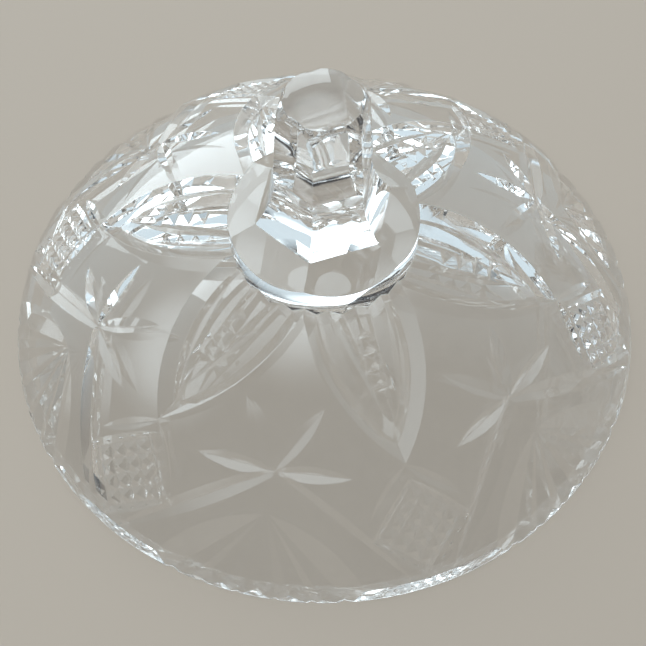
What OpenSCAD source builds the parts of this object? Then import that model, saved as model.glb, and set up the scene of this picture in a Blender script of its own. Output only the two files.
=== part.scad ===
// Candy dish of clear cut crystal with its lift-off lid standing beside it.
// Two pieces of glass: the dish, and the lid with its knob. Millimetres, +Z up.
// The origin is on the table, under the middle of the pair.

/* [Lid] */
// Diameter of the lid's rim
lid_d = 160; // [150:1:175]
// Height of the dome's crown above the lid's rim
crown_h = 37.2; // [34:0.1:42]
// Height of the plain band round the lid's rim
lid_band_h = 3.2; // [2.5:0.1:5]
// How far a rim band leans in over its height
band_lean = 1.2; // [0.6:0.1:2]
// Width of the flat ring that the lid stands on
lid_ring_w = 4.4; // [3.5:0.1:6]
// Thickness of the dome at its crown
crown_wall = 6.5; // [5.5:0.1:8]

/* [Knob] */
// Height of the knob's top above the dome's crown
knob_h = 44.8; // [40:0.2:50]
// Distance across the flats of the knob, at the top of the flare
knob_flats = 20.4; // [18:0.2:22]
// Lean of the knob's flat sides, in degrees
knob_draft = 3.2; // [1:0.2:5]
// Radius of the crowned top of the knob
knob_crown_r = 24; // [20:1:40]
// Radius of the round edges between the knob's top and its flats
knob_edge_r = 2.4; // [1.4:0.1:3.4]
// Radius of the sphere that rounds off the corners of the knob's top
knob_corner_r = 11.2; // [10.6:0.1:12]
// Depth of that sphere's centre under the knob's top
knob_corner_drop = 8.8; // [8:0.1:9.4]
// Radius of the hollow flare under the knob's flats
flare_r = 24; // [22:0.5:28]
// Height of the top of the flare above the dome's crown
flare_h = 20.8; // [18:0.2:22]
// Distance across the flats at the foot of the flare
flare_foot = 28.8; // [26:0.2:32]
// Diameter of the round collar under the flare
collar_d = 45.2; // [42:0.2:48]
// Height of the collar's lowest upper edge above the dome's crown
collar_h = 2.5; // [1.5:0.1:4]

/* [Dish] */
// Width of the dish's rim outside the step that takes the lid
rim_w = 4.4; // [3.5:0.1:7]
// Height of the plain band round the dish's rim
dish_band_h = 6; // [5:0.1:8]
// Depth of the step that takes the lid's rim
seat_depth = 3; // [2:0.1:4]
// Width of the ledge that carries the lid's rim
seat_w = 4.6; // [4:0.1:6]
// Thickness of the bowl at its lowest point
bowl_wall = 5.5; // [4.5:0.1:8]
// Diameter of the dish's foot
foot_d = 64; // [56:1:70]
// Height of the foot under the bowl's lowest point
foot_lift = 1.5; // [1:0.1:4]
// Width of the ring that the dish stands on
foot_ring_w = 7; // [5:0.5:10]
// Depth of the hollow under the foot
foot_hollow = 1.2; // [0.6:0.1:2]

/* [Fit] */
// Room all round the lid's rim inside the dish's step
lid_play = 0.6; // [0.3:0.1:1.2]
// Space between the dish and the lid as they stand side by side
stand_gap = 20; // [10:1:60]
// How far the lid is turned on the table, in degrees
lid_turn = -11.7; // [-30:0.1:30]

/* [Petals] */
// Radius at which the petals' points lie
petal_tip_r = 58; // [54:0.5:60]
// Half width of a petal, from its middle line to the bottom of its outer flute
petal_half_w = 9.6; // [8:0.1:10.5]
// Distance along the glass from the crown to the petal's widest place
petal_wide_at = 29; // [26:0.5:32]
// Depth of the petals' outer flutes
flute_depth = 2.3; // [1.5:0.1:2.8]
// Depth of the petals' inner flutes at the collar
inner_flute_depth = 2.6; // [1.5:0.1:2.8]
// Half distance between the bottoms of a petal's inner flutes at the collar
inner_flute_side = 3.3; // [2.8:0.1:3.8]
// Distance along the glass from the crown to the end of the inner flutes
inner_flute_end = 55; // [50:0.5:57]
// Opening angle of the petals' flutes
flute_angle = 108; // [95:1:115]
// Depth of the notches that make the row of studs
stud_notch_depth = 1.9; // [1:0.1:2.2]
// Length of the notches across the studs' ridge
stud_notch_length = 5.4; // [4:0.1:6]
// Distance from stud to stud
stud_pitch = 4.1; // [3.5:0.1:5]
// Distance along the glass from the crown to the first notch
stud_start = 30.2; // [28:0.1:34]
// Length of the two leaves at each petal's point
leaf_length = 15.5; // [10:0.5:18]

/* [Stars and fans] */
// Distance of the stars' centres in from the edge of the glass
star_inset = 21.2; // [18:0.1:24]
// Length of a star's short rays
short_ray = 18; // [12:0.5:20]
// Length of a star's long rays
long_ray = 42; // [30:0.5:43]
// Depth of the long rays at the star's centre
ray_depth = 0.5; // [0.3:0.1:0.8]
// Radius of the wheel that cuts the short rays and the leaves
ray_wheel_r = 70; // [50:1:100]
// Opening angle of the rays and leaves
ray_angle = 124; // [110:1:140]
// Distance of the fans' points in from the edge of the glass
fan_inset = 13.4; // [10:0.1:16]
// Angle round the rim from one fan groove to the next
fan_pitch = 5.7; // [4.5:0.1:6]
// Depth of the fan grooves at the rim
fan_depth = 1.1; // [0.8:0.05:1.3]
// Distance of the hobnail patches' centres in from the edge of the glass
hobnail_inset = 8.6; // [7:0.1:12]
// Distance from one hobnail groove to the next
hobnail_pitch = 3.6; // [3:0.1:4.2]
// Depth of the hobnail grooves
hobnail_depth = 1.1; // [0.6:0.1:1.4]
// Opening angle of the hobnail grooves
hobnail_angle = 115; // [100:1:130]

/* [Hidden] */
$fn = 96;
over = 1;
glass = [0.86, 0.92, 0.94];
glass_alpha = 0.5;

// The lid's dome is part of a sphere that passes through the top of its rim band
lid_r = lid_d/2;
lid_edge_r = lid_r - band_lean;
dome_rise = crown_h - lid_band_h;
sphere_r = (lid_edge_r*lid_edge_r + dome_rise*dome_rise)/(2*dome_rise);
lid_hollow_r = lid_r - lid_ring_w;
hollow_rise = crown_h - crown_wall;
lid_inner_r = (lid_hollow_r*lid_hollow_r + hollow_rise*hollow_rise)/(2*hollow_rise);

// The knob has six flats, and its flare ends in a crease on the collar
knob_top_h = crown_h + knob_h;
flare_top_h = crown_h + flare_h;
collar_edge_h = crown_h + collar_h;
collar_r = collar_d/2;
collar_root_h = crown_h - crown_wall + over;
flat_reach = 3*collar_d;
foot_half = flare_foot/2;
neck_bite = 0.25;
flare_x = knob_flats/2 - neck_bite + flare_r;
flare_foot_h = flare_top_h - sqrt(flare_r*flare_r - (flare_x - foot_half)*(flare_x - foot_half));

// The knob's round edges cross the faces that they run into by these small amounts
corner_bite = 0.15;
edge_lift = 0.03;

// The dish's bowl has the same curve as the lid's dome, turned over
seat_r = lid_r + lid_play;
dish_r = seat_r + rim_w;
dish_edge_r = dish_r - band_lean;
mouth_r = seat_r - seat_w;
bowl_edge_h = foot_lift + sphere_r - sqrt(sphere_r*sphere_r - dish_edge_r*dish_edge_r);
bowl_floor_h = foot_lift + bowl_wall;
dish_h = bowl_edge_h + dish_band_h;
seat_h = dish_h - seat_depth;
bowl_depth = seat_h - bowl_floor_h;
bowl_inner_r = (mouth_r*mouth_r + bowl_depth*bowl_depth)/(2*bowl_depth);
foot_r = foot_d/2;

// The pair stands centred on the origin
lid_x = -dish_r - stand_gap/2;
dish_x = lid_r + stand_gap/2;

// Layout of the cut pattern: the turns of rays are measured from the way down the glass,
// and grooves that die out end a little above it
repeats = 6;
sector = 360/repeats;
long_ray_turn = 60;
side_ray_turn = 94;
upper_ray_turn = 150;
leaf_turn = 48;
ray_overrun = 0.9;
wheel_overrun = 3;
groove_rise = 0.1;
long_ray_curve_r = 200;
fan_grooves = 6;
fan_apex_depth = -0.12;
fan_overrun = 6;
stud_notches = 4;
stud_notch_angle = 92;
hobnail_lines = 5;
hobnail_turn = 45;

// Flutes start under the collar, and the outer ones run on past the petal's middle line to mitre there
flute_start = 12;
inner_flute_lead = 6;
inner_flute_bend = 0.85;
inner_flute_curve_r = 135;
mitre_spare = 4;
tip_spread = 1.6;
tip_setback = tip_spread*flute_depth*tan(flute_angle/2);

function angle_of(arc) = arc/sphere_r*180/PI;
function polar_at(r) = asin(r/sphere_r);
function arc_at(r) = polar_at(r)*PI/180*sphere_r;
function knob_half(h) = knob_flats/2 - (h - flare_top_h)*tan(knob_draft);
function drop(run) = sphere_r - sqrt(sphere_r*sphere_r - run*run);

// Places children on the sphere, with x down the slope and z straight out
module on_sphere(polar, azimuth = 0)
    rotate([0, 0, azimuth])
        rotate([0, polar, 0])
            translate([0, 0, sphere_r])
                children();

// Triangle whose point is the bottom of a groove
module groove_section(height, opening)
    polygon([[0, 0], [height*tan(opening/2), height], [-height*tan(opening/2), height]]);

// Straight V groove along x, from one depth under the sphere to another
module straight_groove(from, to, start_depth, end_depth, opening) {
    start_z = -drop(from) - start_depth;
    end_z = -drop(to) - end_depth;
    run = to - from;
    fall = start_z - end_z;
    height = max(start_depth, end_depth) + drop(run/2) + over;
    translate([from, 0, start_z])
        rotate([0, atan2(fall, run), 0])
            rotate([90, 0, 90])
                linear_extrude(norm([run, fall]))
                    groove_section(height, opening);
}

// V groove along x whose bottom is an arc flatter than the sphere
module curved_groove(to, start_depth, end_depth, curve_r, opening) {
    fall = drop(to) + end_depth - start_depth;
    chord = norm([to, fall]);
    height = start_depth + drop(to/2) + over;
    sweep = 2*asin(chord/2/curve_r);
    translate([0, 0, -start_depth])
        rotate([0, atan2(fall, to), 0])
            translate([chord/2, 0, -sqrt(curve_r*curve_r - chord*chord/4)])
                rotate([90, 0, 0])
                    rotate([0, 0, 90 - sweep/2])
                        rotate_extrude(angle = sweep)
                            translate([curve_r, 0])
                                rotate(-90)
                                    groove_section(height, opening);
}

// V groove along x, as a wheel cuts it between two places on the sphere
module wheel_groove(from, to, opening) {
    fall = drop(to) - drop(from);
    chord = norm([to - from, fall]);
    centre_h = sqrt(ray_wheel_r*ray_wheel_r - chord*chord/4);
    height = ray_wheel_r - centre_h + drop(chord/2) + over;
    half_sweep = asin(chord/2/ray_wheel_r) + wheel_overrun;
    translate([(from + to)/2, 0, -(drop(from) + drop(to))/2])
        rotate([0, atan2(fall, to - from), 0])
            translate([0, 0, centre_h])
                rotate([90, 0, 0])
                    rotate([0, 0, -90 - half_sweep])
                        rotate_extrude(angle = 2*half_sweep)
                            translate([ray_wheel_r, 0])
                                rotate(90)
                                    groove_section(height, opening);
}

// One side's outer flute of a petal, along a small circle of the sphere, mitred at the middle line
module outer_flute(tip_arc) {
    side = angle_of(petal_half_w);
    half_length = angle_of(tip_arc - petal_wide_at);
    offset = atan((cos(side) - cos(half_length))/sin(side));
    ring = offset + side;
    tip_turn = acos(tan(offset)/tan(ring)) + mitre_spare*asin(flute_depth/sphere_r/sin(ring));
    back_turn = asin((petal_wide_at - flute_start)/sphere_r/sin(ring));
    intersection() {
        rotate([0, angle_of(petal_wide_at), 0])
            rotate([offset, 0, 0])
                rotate([0, 0, 90 - tip_turn])
                    rotate_extrude(angle = tip_turn + back_turn)
                        rotate(-ring)
                            translate([0, sphere_r - flute_depth])
                                groove_section(flute_depth + over, flute_angle);
        cube(2*sphere_r);
    }
}

// Inner flute of a petal, which runs from under the collar and dies out towards the petal's point
module inner_flute() {
    run = inner_flute_end - arc_at(collar_r);
    length = run + inner_flute_lead;
    start_turn = asin(inner_flute_side/collar_r);
    bend = inner_flute_bend*atan2(inner_flute_side, run);
    rotate([0, 0, start_turn])
        rotate([0, polar_at(collar_r), 0])
            rotate([0, 0, -start_turn - bend])
                on_sphere(-angle_of(inner_flute_lead))
                    curved_groove(length, inner_flute_depth*length/run, -groove_rise,
                                  inner_flute_curve_r, flute_angle);
}

// Four flutes and a row of studs that make one petal
module petal() {
    for (side = [0, 1])
        mirror([0, side, 0]) {
            outer_flute(arc_at(petal_tip_r) - tip_setback);
            inner_flute();
        }
    for (i = [0 : stud_notches - 1])
        on_sphere(angle_of(stud_start + i*stud_pitch))
            rotate([0, 0, 90])
                straight_groove(-stud_notch_length/2, stud_notch_length/2,
                                stud_notch_depth, stud_notch_depth, stud_notch_angle);
}

// Two leaves that spread from a petal's point
module tip_leaves()
    for (turn = [-leaf_turn, leaf_turn])
        on_sphere(polar_at(petal_tip_r))
            rotate([0, 0, turn])
                wheel_groove(-ray_overrun, leaf_length, ray_angle);

// Crossed grooves that leave a diamond-shaped patch of small points
module hobnails(edge_r) {
    half = hobnail_pitch*(hobnail_lines - 1)/2;
    for (turn = [-hobnail_turn, hobnail_turn], i = [0 : hobnail_lines - 1])
        on_sphere(polar_at(edge_r - hobnail_inset))
            rotate([0, 0, turn])
                translate([0, i*hobnail_pitch - half, -drop(i*hobnail_pitch - half)])
                    straight_groove(-half - over, half + over, hobnail_depth, hobnail_depth, hobnail_angle);
}

// Star of four short rays and two long ones that run down to the rim
module star(edge_r)
    on_sphere(polar_at(edge_r - star_inset))
        for (side = [-1, 1]) {
            for (turn = [side_ray_turn, upper_ray_turn])
                rotate([0, 0, side*turn])
                    wheel_groove(-ray_overrun, short_ray, ray_angle);
            rotate([0, 0, side*long_ray_turn])
                translate([0, 0, -sphere_r])
                    on_sphere(-angle_of(ray_overrun))
                        curved_groove(long_ray + ray_overrun, ray_depth, -groove_rise,
                                      long_ray_curve_r, ray_angle);
        }

// Fan of grooves that widen from a point and meet in sharp ridges at the rim
module fan(edge_r) {
    fan_run = arc_at(edge_r) - arc_at(edge_r - fan_inset);
    opening = 2*atan(edge_r*sin(fan_pitch/2)/fan_depth);
    for (i = [0 : fan_grooves - 1]) {
        rim_turn = (i - (fan_grooves - 1)/2)*fan_pitch;
        side_run = edge_r*sin(rim_turn);
        down_run = fan_run*cos(rim_turn);
        run = norm([side_run, down_run]);
        on_sphere(polar_at(edge_r - fan_inset))
            rotate([0, 0, atan2(side_run, down_run)])
                straight_groove(0, run + fan_overrun, fan_apex_depth,
                                fan_depth*(run + fan_overrun)/run, opening);
    }
}

// The whole cut pattern on a dome of the shared sphere, centred on the origin
module cut_pattern(edge_r)
    for (i = [0 : repeats - 1])
        rotate([0, 0, i*sector]) {
            petal();
            tip_leaves();
            hobnails(edge_r);
            rotate([0, 0, sector/2]) {
                star(edge_r);
                fan(edge_r);
            }
        }

// Cuts a round body to an outline that is drawn across two flats, one pair of sides at a time
module six_sided(pairs = repeats/2)
    if (pairs == 0)
        children(0);
    else
        intersection() {
            six_sided(pairs - 1) {
                children(0);
                children(1);
            }
            rotate([90, 0, pairs*sector])
                linear_extrude(flat_reach, center = true)
                    children(1);
        }

// Round collar with six flat facets on its shoulder
module collar() {
    slope = (flare_foot_h - collar_edge_h)/(collar_r - foot_half);
    shoulder_x = collar_r + over;
    shoulder_h = collar_edge_h - over*slope;
    apex_h = shoulder_h + shoulder_x*slope;
    six_sided() {
        translate([0, 0, collar_root_h])
            cylinder(r = collar_r, h = apex_h - collar_root_h);
        polygon([[-shoulder_x, crown_h - crown_wall], [shoulder_x, crown_h - crown_wall],
                 [shoulder_x, shoulder_h], [0, apex_h], [-shoulder_x, shoulder_h]]);
    }
}

// Round column with a crowned top and a rounded shoulder, which bounds the grip
module grip_column() {
    column_r = foot_half/cos(sector/2) + over;
    centre_h = knob_top_h - knob_corner_drop;
    rotate_extrude() {
        polygon([[0, crown_h], [column_r, crown_h], [knob_corner_r - corner_bite, centre_h], [0, centre_h]]);
        intersection() {
            translate([0, knob_top_h - knob_crown_r])
                circle(knob_crown_r);
            translate([0, centre_h])
                circle(knob_corner_r);
            translate([0, centre_h - over])
                square([column_r, knob_corner_r + over]);
        }
    }
}

// Outline across two flats that rounds the edges between the knob's top and its flats
module edge_outline() {
    reach = knob_crown_r - knob_edge_r + edge_lift;
    edge_x = knob_half(knob_top_h - 2*knob_edge_r) - knob_edge_r + edge_lift;
    edge_rise = sqrt(reach*reach - edge_x*edge_x);
    edge_h = knob_top_h - knob_crown_r + edge_rise;
    difference() {
        translate([-collar_r, crown_h - over])
            square([collar_d, knob_h + 2*over]);
        for (side = [0, 1])
            mirror([side, 0])
                translate([edge_x, edge_h])
                    difference() {
                        polygon([[0, 0], [edge_x, edge_rise], [collar_d, edge_rise], [collar_d, 0]]);
                        circle(knob_edge_r);
                    }
    }
}

// Outline of the grip across two flats: drafted sides above a hollow flare
module grip_outline() {
    top = knob_top_h + over;
    lean = (top + over - flare_top_h)*tan(knob_draft);
    difference() {
        translate([-collar_r, crown_h - over])
            square([collar_d, top - crown_h + over]);
        for (side = [0, 1])
            mirror([side, 0]) {
                translate([flare_x, flare_top_h])
                    circle(flare_r);
                polygon([[knob_flats/2, flare_top_h], [knob_flats/2 - lean, top + over],
                         [flare_x, top + over], [flare_x, flare_top_h]]);
            }
    }
}

// Six-sided knob that flares out onto its round collar
module knob() {
    collar();
    six_sided() {
        six_sided() {
            grip_column();
            grip_outline();
        }
        edge_outline();
    }
}

// Section of the lid's dome: a spherical cap on a leaning band, hollow underneath
module dome_section()
    difference() {
        union() {
            intersection() {
                translate([0, crown_h - sphere_r])
                    circle(sphere_r);
                translate([0, lid_band_h])
                    square([lid_r, crown_h]);
            }
            polygon([[0, 0], [lid_r, 0], [lid_edge_r, lid_band_h], [0, lid_band_h]]);
        }
        translate([0, crown_h - crown_wall - lid_inner_r])
            circle(lid_inner_r);
    }

// Lid: a shallow cut dome with a plain rim band, and its knob in one piece with it
module lid()
    color(glass, glass_alpha)
        translate([lid_x, 0, 0])
            rotate([0, 0, lid_turn]) {
                difference() {
                    rotate_extrude()
                        dome_section();
                    translate([0, 0, crown_h - sphere_r])
                        cut_pattern(lid_edge_r);
                }
                knob();
            }

// Section of the dish's bowl, with the step for the lid inside its rim
module bowl_section()
    difference() {
        union() {
            intersection() {
                translate([0, foot_lift + sphere_r])
                    circle(sphere_r);
                square([dish_r, bowl_edge_h]);
            }
            polygon([[0, bowl_edge_h], [dish_edge_r, bowl_edge_h], [dish_r, dish_h], [0, dish_h]]);
        }
        intersection() {
            translate([0, bowl_floor_h + bowl_inner_r])
                circle(bowl_inner_r);
            square([mouth_r, dish_h + over]);
        }
        translate([0, seat_h])
            square([seat_r, seat_depth + over]);
    }

// Round foot with a shallow hollow under it
module foot()
    difference() {
        cylinder(r = foot_r, h = bowl_floor_h - foot_hollow);
        translate([0, 0, -over])
            cylinder(r = foot_r - foot_ring_w, h = foot_hollow + over);
    }

// Dish: a shallow cut bowl on a round foot
module dish()
    color(glass, glass_alpha)
        translate([dish_x, 0, 0]) {
            difference() {
                rotate_extrude()
                    bowl_section();
                translate([0, 0, foot_lift + sphere_r])
                    mirror([0, 0, 1])
                        cut_pattern(dish_edge_r);
            }
            foot();
        }

dish();
lid();
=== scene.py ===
import math

import bmesh
import bpy
from mathutils import Matrix, Vector


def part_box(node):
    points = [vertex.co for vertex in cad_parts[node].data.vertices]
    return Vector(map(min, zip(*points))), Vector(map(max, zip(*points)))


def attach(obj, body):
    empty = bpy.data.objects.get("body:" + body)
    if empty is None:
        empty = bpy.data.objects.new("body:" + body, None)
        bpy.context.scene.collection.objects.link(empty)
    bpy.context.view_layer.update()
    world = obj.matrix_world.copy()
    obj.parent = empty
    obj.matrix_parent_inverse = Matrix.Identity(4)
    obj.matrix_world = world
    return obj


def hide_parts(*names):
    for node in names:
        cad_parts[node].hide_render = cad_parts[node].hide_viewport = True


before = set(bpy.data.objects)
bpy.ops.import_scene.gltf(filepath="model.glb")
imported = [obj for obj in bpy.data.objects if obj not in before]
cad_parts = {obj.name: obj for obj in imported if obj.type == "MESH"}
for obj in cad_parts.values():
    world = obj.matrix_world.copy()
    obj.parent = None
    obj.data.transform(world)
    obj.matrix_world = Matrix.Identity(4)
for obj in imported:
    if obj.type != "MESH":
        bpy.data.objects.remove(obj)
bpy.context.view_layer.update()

UP = Vector((0, 0, 1))

# Camera, measured from the lid: distance in lid rim radii, angles in radians, sensor in millimetres
CAMERA_DISTANCE = 3.9454
CAMERA_ELEVATION = 1.0152
CAMERA_PITCH = 1.0296
CAMERA_YAW = -0.0022
CAMERA_ROLL = -0.0083
SENSOR_WIDTH = 36.0
FOCAL_PIXELS = 1200
IMAGE_PIXELS = 646

# Curves of the glass, in metres, as the CAD model has them
LID_BAND_HEIGHT = 0.0032
BAND_LEAN = 0.0012
LID_RING_WIDTH = 0.0044
CROWN_HEIGHT = 0.0372
CROWN_WALL = 0.0065
FOOT_LIFT = 0.0015
BOWL_WALL = 0.0055
SEAT_DEPTH = 0.003
SEAT_WIDTH = 0.0046
LID_PLAY = 0.0006

# Limits for telling surfaces apart: metres, then radians
WELD_DISTANCE = 2e-7
SPHERE_TOLERANCE = 3e-6
SPHERE_LEAN = math.radians(10)
CREASE_ANGLE = math.radians(12)

# Crystal: smudges in the polish, waves of the pressed glass and softened edges, lengths in metres
CRYSTAL = {"Base Color": (0.99, 0.99, 0.99, 1), "Transmission Weight": 1, "IOR": 1.56}
SMUDGES = {"Scale": 60, "Detail": 4}
POLISH = {"From Min": 0.4, "From Max": 0.75, "To Min": 0.0, "To Max": 0.03}
WAVES = {"Scale": 90, "Detail": 1}
WAVE_RELIEF = {"Strength": 0.05, "Distance": 0.001}
EDGE_SOFTNESS = 0.00025
EDGE_SAMPLES = 4
SHADOW_TINT = (0.9, 0.9, 0.9, 1)

# Floor, in metres
FLOOR_SIZE = 40.0
FLOOR_GAP = 0.0001
FLOOR = {"Base Color": (0.54, 0.44, 0.36, 1), "Roughness": 0.8}

# Room: colours in front by a direction's height, colour at the back, and the depth that blends them
ROOM_FRONT = ((0.03, (0.37, 0.35, 0.31, 1)), (0.12, (0.05, 0.05, 0.055, 1)))
ROOM_BACK = (0.7, 0.83, 0.9, 1)
ROOM_DEPTH = {"From Min": -0.1, "From Max": 0.6}

# Window light: soft patches with angles in degrees, and a lamp in metres and watts, measured from the lid
WINDOW_COLOR = (0.84, 0.95, 1.0)
OVERHEAD = {"towards": (-0.08, 0.32, 0.94), "inner": 8, "outer": 32, "strength": 2.8}
SIDE = {"towards": (-0.65, 0.04, 0.76), "inner": 4, "outer": 20, "strength": 2.2}
WINDOW_OFFSET = Vector((-1.0, 2.3, 1.0))
WINDOW_WIDTH = 2.6
WINDOW_HEIGHT = 1.3
WINDOW_POWER = 32
LIGHT_BOUNCES = 24


def new_object(name, data):
    """Object in the scene that shows a mesh, a lamp or a camera."""
    holder = bpy.data.objects.new(name, data)
    bpy.context.scene.collection.objects.link(holder)
    return holder


def foot_centre(low, high):
    """Middle of a box, on the table."""
    return Vector(((low.x + high.x) / 2, (low.y + high.y) / 2, 0))


def sphere_radius(chord, rise):
    """Radius of a sphere from half the width of a cap and its height."""
    return (chord * chord + rise * rise) / (2 * rise)


def dome_radius(rim):
    """Radius of the lid's dome, which the outside of the bowl shares."""
    return sphere_radius(rim - BAND_LEAN, CROWN_HEIGHT - LID_BAND_HEIGHT)


def lid_spheres(centre, rim):
    """Outside of the lid's dome and the hollow under it, each as centre and radius."""
    dome = dome_radius(rim)
    hollow = sphere_radius(rim - LID_RING_WIDTH, CROWN_HEIGHT - CROWN_WALL)
    return [(centre + (CROWN_HEIGHT - dome) * UP, dome),
            (centre + (CROWN_HEIGHT - CROWN_WALL - hollow) * UP, hollow)]


def dish_spheres(centre, rim, height):
    """Outside and inside of the dish's bowl, each as centre and radius."""
    outside = dome_radius(rim)
    bowl_floor = FOOT_LIFT + BOWL_WALL
    inside = sphere_radius(rim + LID_PLAY - SEAT_WIDTH, height - SEAT_DEPTH - bowl_floor)
    return [(centre + (FOOT_LIFT + outside) * UP, outside),
            (centre + (bowl_floor + inside) * UP, inside)]


def home_sphere(face, spheres):
    """Place in the list of the sphere that a triangle lies on, or None."""
    for place, (centre, radius) in enumerate(spheres):
        if all(abs((v.co - centre).length - radius) < SPHERE_TOLERANCE for v in face.verts):
            lean = face.normal.angle(face.calc_center_median() - centre)
            if min(lean, math.pi - lean) < SPHERE_LEAN:
                return place
    return None


def smooth_faces(build, homes):
    """Smooths all faces, and keeps an edge sharp where it bends or where two kinds of surface meet."""
    build.faces.index_update()
    for face in build.faces:
        face.smooth = True
    for edge in build.edges:
        kinds = {homes[face.index] for face in edge.link_faces}
        edge.smooth = len(kinds) == 1 and edge.calc_face_angle(math.pi) < CREASE_ANGLE


def round_normal(corner, face, centre):
    """Normal of a sphere at a corner of a triangle on it, on the triangle's own side."""
    outward = (corner.vert.co - centre).normalized()
    return outward if outward.dot(face.normal) > 0 else -outward


def corner_normals(build, homes, spheres):
    """Normals of all corners: true ones on a sphere, and zeros where Blender finds them itself."""
    normals = []
    for face, home in zip(build.faces, homes):
        for corner in face.loops:
            if home is None:
                normals.append((0, 0, 0))
            else:
                normals.append(round_normal(corner, face, spheres[home][0]))
    return normals


def dress(name, spheres, material):
    """Glass piece in place of a CAD node: its surface, welded, with creases and true round normals."""
    mesh = bpy.data.meshes.new(name)
    build = bmesh.new()
    build.from_mesh(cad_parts[name].data)
    bmesh.ops.remove_doubles(build, verts=build.verts, dist=WELD_DISTANCE)
    build.normal_update()
    homes = [home_sphere(face, spheres) for face in build.faces]
    smooth_faces(build, homes)
    normals = corner_normals(build, homes, spheres)
    build.to_mesh(mesh)
    build.free()
    mesh.normals_split_custom_set(normals)
    mesh.materials.append(material)
    piece = new_object(name + "_glass", mesh)
    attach(piece, name)
    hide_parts(name)


def set_inputs(node, values):
    """Sets a node's sockets, given by name."""
    for name, value in values.items():
        node.inputs[name].default_value = value


def new_material(name):
    """Node material with its tree, its Principled shader and its output, which aren't linked yet."""
    material = bpy.data.materials.new(name)
    material.use_nodes = True
    tree = material.node_tree
    tree.nodes.clear()
    shader = tree.nodes.new("ShaderNodeBsdfPrincipled")
    return material, tree, shader, tree.nodes.new("ShaderNodeOutputMaterial")


def crystal_roughness(tree, place):
    """Roughness of polished glass with faint smudges."""
    smudges = tree.nodes.new("ShaderNodeTexNoise")
    set_inputs(smudges, SMUDGES)
    tree.links.new(place, smudges.inputs["Vector"])
    polish = tree.nodes.new("ShaderNodeMapRange")
    set_inputs(polish, POLISH)
    tree.links.new(smudges.outputs["Fac"], polish.inputs["Value"])
    return polish.outputs["Result"]


def crystal_normal(tree, place):
    """Normal of pressed glass: faint waves, and edges that are a little soft."""
    waves = tree.nodes.new("ShaderNodeTexNoise")
    set_inputs(waves, WAVES)
    tree.links.new(place, waves.inputs["Vector"])
    edges = tree.nodes.new("ShaderNodeBevel")
    edges.samples = EDGE_SAMPLES
    edges.inputs["Radius"].default_value = EDGE_SOFTNESS
    relief = tree.nodes.new("ShaderNodeBump")
    set_inputs(relief, WAVE_RELIEF)
    tree.links.new(waves.outputs["Fac"], relief.inputs["Height"])
    tree.links.new(edges.outputs["Normal"], relief.inputs["Normal"])
    return relief.outputs["Normal"]


def with_light_shadow(tree, surface):
    """The same surface, but nearly clear to the rays that light the floor."""
    clear = tree.nodes.new("ShaderNodeBsdfTransparent")
    clear.inputs["Color"].default_value = SHADOW_TINT
    ray = tree.nodes.new("ShaderNodeLightPath")
    for kind in ("Is Shadow Ray", "Is Diffuse Ray"):
        mix = tree.nodes.new("ShaderNodeMixShader")
        tree.links.new(ray.outputs[kind], mix.inputs["Fac"])
        tree.links.new(surface, mix.inputs[1])
        tree.links.new(clear.outputs["BSDF"], mix.inputs[2])
        surface = mix.outputs["Shader"]
    return surface


def crystal_material():
    """Clear polished crystal, with the faint unevenness of pressed glass and light shadows."""
    material, tree, glass, output = new_material("crystal")
    set_inputs(glass, CRYSTAL)
    place = tree.nodes.new("ShaderNodeTexCoord").outputs["Object"]
    tree.links.new(crystal_roughness(tree, place), glass.inputs["Roughness"])
    tree.links.new(crystal_normal(tree, place), glass.inputs["Normal"])
    tree.links.new(with_light_shadow(tree, glass.outputs["BSDF"]), output.inputs["Surface"])
    return material


def floor_material():
    """Plain pale matt floor."""
    material, tree, matt, output = new_material("floor")
    set_inputs(matt, FLOOR)
    tree.links.new(matt.outputs["BSDF"], output.inputs["Surface"])
    return material


def add_floor():
    """Large square of floor, a hair under the glass, so that its flat faces still reflect inside."""
    half = FLOOR_SIZE / 2
    corners = [(x * half, y * half, -FLOOR_GAP) for x, y in ((-1, -1), (1, -1), (1, 1), (-1, 1))]
    mesh = bpy.data.meshes.new("floor")
    mesh.from_pydata(corners, [], [(0, 1, 2, 3)])
    mesh.materials.append(floor_material())
    floor = new_object("floor", mesh)


def room_color(tree, direction):
    """Colour of the room: bright at the back, and dark in front above a pale horizon."""
    split = tree.nodes.new("ShaderNodeSeparateXYZ")
    tree.links.new(direction, split.inputs["Vector"])
    front = tree.nodes.new("ShaderNodeValToRGB")
    for step, (height, color) in zip(front.color_ramp.elements, ROOM_FRONT):
        step.position = height
        step.color = color
    tree.links.new(split.outputs["Z"], front.inputs["Fac"])
    depth = tree.nodes.new("ShaderNodeMapRange")
    set_inputs(depth, ROOM_DEPTH)
    tree.links.new(split.outputs["Y"], depth.inputs["Value"])
    room = tree.nodes.new("ShaderNodeMixRGB")
    room.inputs["Color2"].default_value = ROOM_BACK
    tree.links.new(depth.outputs["Result"], room.inputs["Fac"])
    tree.links.new(front.outputs["Color"], room.inputs["Color1"])
    return room.outputs["Color"]


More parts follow.
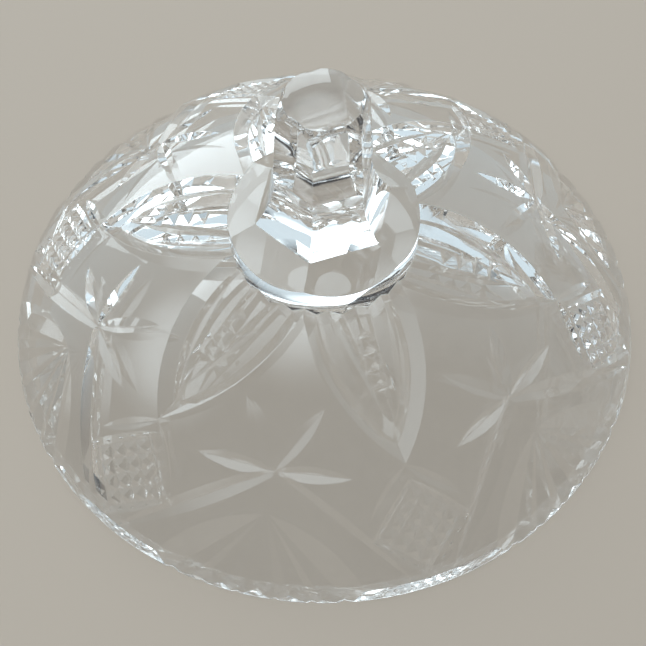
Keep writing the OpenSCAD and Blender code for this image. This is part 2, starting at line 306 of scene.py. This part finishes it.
def soft_patch(tree, direction, towards, inner, outer, strength):
    """Round patch of daylight that fades from an inner angle to an outer one."""
    nearness = tree.nodes.new("ShaderNodeVectorMath")
    nearness.operation = "DOT_PRODUCT"
    nearness.inputs[1].default_value = Vector(towards).normalized()
    tree.links.new(direction, nearness.inputs[0])
    fade = tree.nodes.new("ShaderNodeMapRange")
    fade.interpolation_type = "SMOOTHSTEP"
    set_inputs(fade, {"From Min": math.cos(math.radians(outer)),
                      "From Max": math.cos(math.radians(inner)),
                      "To Max": strength})
    tree.links.new(nearness.outputs["Value"], fade.inputs["Value"])
    patch = tree.nodes.new("ShaderNodeBackground")
    patch.inputs["Color"].default_value = (*WINDOW_COLOR, 1)
    tree.links.new(fade.outputs["Result"], patch.inputs["Strength"])
    return patch.outputs["Background"]


def add_world():
    """Daylight of the room, with soft patches overhead and at the side."""
    world = bpy.data.worlds.new("room")
    bpy.context.scene.world = world
    world.use_nodes = True
    tree = world.node_tree
    room = tree.nodes["Background"]
    direction = tree.nodes.new("ShaderNodeTexCoord").outputs["Generated"]
    tree.links.new(room_color(tree, direction), room.inputs["Color"])
    light = room.outputs["Background"]
    for patch in (OVERHEAD, SIDE):
        total = tree.nodes.new("ShaderNodeAddShader")
        tree.links.new(light, total.inputs[0])
        tree.links.new(soft_patch(tree, direction, **patch), total.inputs[1])
        light = total.outputs["Shader"]
    tree.links.new(light, tree.nodes["World Output"].inputs["Surface"])


def add_window(target):
    """Rectangular lamp behind a target, to its left, that faces it."""
    lamp = bpy.data.lights.new("window", "AREA")
    lamp.shape = "RECTANGLE"
    lamp.size = WINDOW_WIDTH
    lamp.size_y = WINDOW_HEIGHT
    lamp.energy = WINDOW_POWER
    lamp.color = WINDOW_COLOR
    window = new_object("window", lamp)
    window.location = target + WINDOW_OFFSET
    window.rotation_euler = (-WINDOW_OFFSET).to_track_quat("-Z", "Y").to_euler()


def add_camera(centre, rim):
    """Camera that sees the lid as the photograph does."""
    level = CAMERA_DISTANCE * rim * math.cos(CAMERA_ELEVATION)
    place = centre + Vector((0, -level, CAMERA_DISTANCE * rim * math.sin(CAMERA_ELEVATION)))
    forward = Vector((math.sin(CAMERA_YAW) * math.cos(CAMERA_PITCH),
                      math.cos(CAMERA_YAW) * math.cos(CAMERA_PITCH),
                      -math.sin(CAMERA_PITCH)))
    level_right = forward.cross(UP).normalized()
    level_up = level_right.cross(forward)
    right = math.cos(CAMERA_ROLL) * level_right + math.sin(CAMERA_ROLL) * level_up
    up = math.cos(CAMERA_ROLL) * level_up - math.sin(CAMERA_ROLL) * level_right
    turn = Matrix((right, up, -forward)).transposed()
    data = bpy.data.cameras.new("camera")
    data.sensor_width = SENSOR_WIDTH
    data.lens = SENSOR_WIDTH * FOCAL_PIXELS / IMAGE_PIXELS
    camera = new_object("camera", data)
    camera.matrix_world = Matrix.Translation(place) @ turn.to_4x4()
    bpy.context.scene.camera = camera


lid_low, lid_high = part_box("lid")
dish_low, dish_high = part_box("dish")
rim_radius = (lid_high.x - lid_low.x) / 2
lid_centre = foot_centre(lid_low, lid_high)
dish_centre = foot_centre(dish_low, dish_high)

bpy.context.scene.view_settings.view_transform = "Standard"
bpy.context.scene.cycles.max_bounces = LIGHT_BOUNCES
bpy.context.scene.cycles.glossy_bounces = LIGHT_BOUNCES
bpy.context.scene.cycles.transmission_bounces = LIGHT_BOUNCES
add_camera(lid_centre, rim_radius)
add_floor()
add_world()
add_window(lid_centre)

crystal = crystal_material()
dress("lid", lid_spheres(lid_centre, rim_radius), crystal)
dress("dish", dish_spheres(dish_centre, rim_radius, dish_high.z), crystal)
